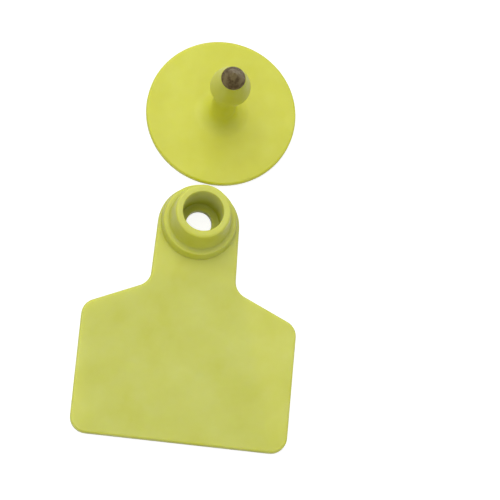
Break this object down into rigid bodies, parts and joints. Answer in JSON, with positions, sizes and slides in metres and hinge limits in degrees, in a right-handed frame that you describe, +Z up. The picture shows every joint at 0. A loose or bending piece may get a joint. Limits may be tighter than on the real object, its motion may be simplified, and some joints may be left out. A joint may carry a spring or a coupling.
{
  "type": "livestock ear tag",
  "caption": "Two-piece livestock ear tag: flag-shaped female tag with a stepped collar, and a round male button whose barbed stem carries a metal tip.",
  "frame": {"origin": "on the axis of the female tag's lock hole, in the plane of the tag's flat underside", "axes": "+Y along the tag from its panel to its neck end and the button, +X across the panel, +Z up out of the collar"},
  "size_m": [0.0422, 0.0827, 0.025],
  "materials": {
    "tag_plastic": "satin, yellow-green moulded TPU, slightly translucent",
    "button_plastic": "satin, yellow-green moulded TPU, slightly translucent",
    "tip_metal": "dark bronze, turned"
  },
  "bodies": {
    "root": {"female_tag": "tag_plastic", "male_button": "button_plastic", "metal_tip": "tip_metal"}
  },
  "joints": []
}
